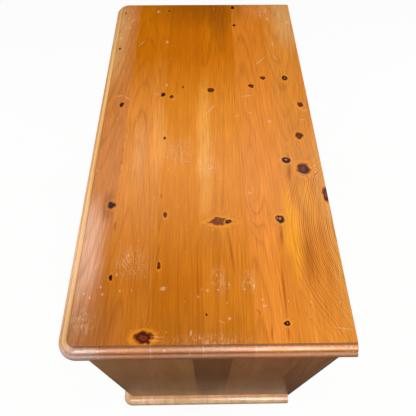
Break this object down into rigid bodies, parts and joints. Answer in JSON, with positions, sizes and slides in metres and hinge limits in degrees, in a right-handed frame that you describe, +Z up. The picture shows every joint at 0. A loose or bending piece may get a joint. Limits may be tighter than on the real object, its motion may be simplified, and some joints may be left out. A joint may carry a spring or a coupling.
{
  "type": "chest of drawers",
  "caption": "Low pine dresser with a moulded top, boarded ends and a projecting base board on bun feet; short drawers over long drawers slide out on wooden runners.",
  "frame": {"origin": "on the floor, under the middle of the dresser's overall box", "axes": "+X along the length to the dresser's right end, -Y to the drawer fronts, +Z up"},
  "size_m": [0.905, 0.4684, 0.6986],
  "materials": {
    "honey_pine": "honey-stained knotty pine under worn clear lacquer",
    "bare_pine": "planed pine, unfinished",
    "zinc_steel": "zinc-plated wood screw"
  },
  "bodies": {
    "case": {"top_panel": "honey_pine", "end_panel_left": "honey_pine", "end_panel_right": "honey_pine", "base_board": "honey_pine", "back_panel": "bare_pine", "top_front_rail": "honey_pine", "top_rear_rail": "bare_pine", "upper_drawer_rail": "honey_pine", "lower_drawer_rail": "honey_pine", "centre_upright": "honey_pine", "upper_runner_left": "bare_pine", "upper_runner_centre": "bare_pine", "upper_runner_right": "bare_pine", "lower_runner_left": "bare_pine", "lower_runner_right": "bare_pine", "centre_guide": "bare_pine", "top_cleat_left": "bare_pine", "top_cleat_centre": "bare_pine", "top_cleat_right": "bare_pine", "foot_front_left": "honey_pine", "foot_front_right": "honey_pine", "foot_back_left": "honey_pine", "foot_back_right": "honey_pine", "top_left_drawer_stop": "bare_pine", "top_right_drawer_stop": "bare_pine", "middle_drawer_stop": "bare_pine", "bottom_drawer_stop": "bare_pine"},
    "top_left_drawer": {"top_left_drawer_front": "honey_pine", "top_left_drawer_left_side": "bare_pine", "top_left_drawer_right_side": "bare_pine", "top_left_drawer_back": "bare_pine", "top_left_drawer_bottom": "bare_pine", "top_left_drawer_knob": "honey_pine", "top_left_drawer_knob_screw": "zinc_steel"},
    "top_right_drawer": {"top_right_drawer_front": "honey_pine", "top_right_drawer_left_side": "bare_pine", "top_right_drawer_right_side": "bare_pine", "top_right_drawer_back": "bare_pine", "top_right_drawer_bottom": "bare_pine", "top_right_drawer_knob": "honey_pine", "top_right_drawer_knob_screw": "zinc_steel"},
    "middle_drawer": {"middle_drawer_front": "honey_pine", "middle_drawer_left_side": "bare_pine", "middle_drawer_right_side": "bare_pine", "middle_drawer_back": "bare_pine", "middle_drawer_bottom": "bare_pine", "middle_drawer_left_knob": "honey_pine", "middle_drawer_left_knob_screw": "zinc_steel", "middle_drawer_right_knob": "honey_pine", "middle_drawer_right_knob_screw": "zinc_steel"},
    "bottom_drawer": {"bottom_drawer_front": "honey_pine", "bottom_drawer_left_side": "bare_pine", "bottom_drawer_right_side": "bare_pine", "bottom_drawer_back": "bare_pine", "bottom_drawer_bottom": "bare_pine", "bottom_drawer_left_knob": "honey_pine", "bottom_drawer_left_knob_screw": "zinc_steel", "bottom_drawer_right_knob": "honey_pine", "bottom_drawer_right_knob_screw": "zinc_steel"}
  },
  "joints": [
    {"name": "top_left_drawer_slide", "type": "slide", "parent": "case", "child": "top_left_drawer", "axis": [0, -1, 0], "range_m": [0, 0.3]},
    {"name": "top_right_drawer_slide", "type": "slide", "parent": "case", "child": "top_right_drawer", "axis": [0, -1, 0], "range_m": [0, 0.3]},
    {"name": "middle_drawer_slide", "type": "slide", "parent": "case", "child": "middle_drawer", "axis": [0, -1, 0], "range_m": [0, 0.3]},
    {"name": "bottom_drawer_slide", "type": "slide", "parent": "case", "child": "bottom_drawer", "axis": [0, -1, 0], "range_m": [0, 0.3]}
  ]
}
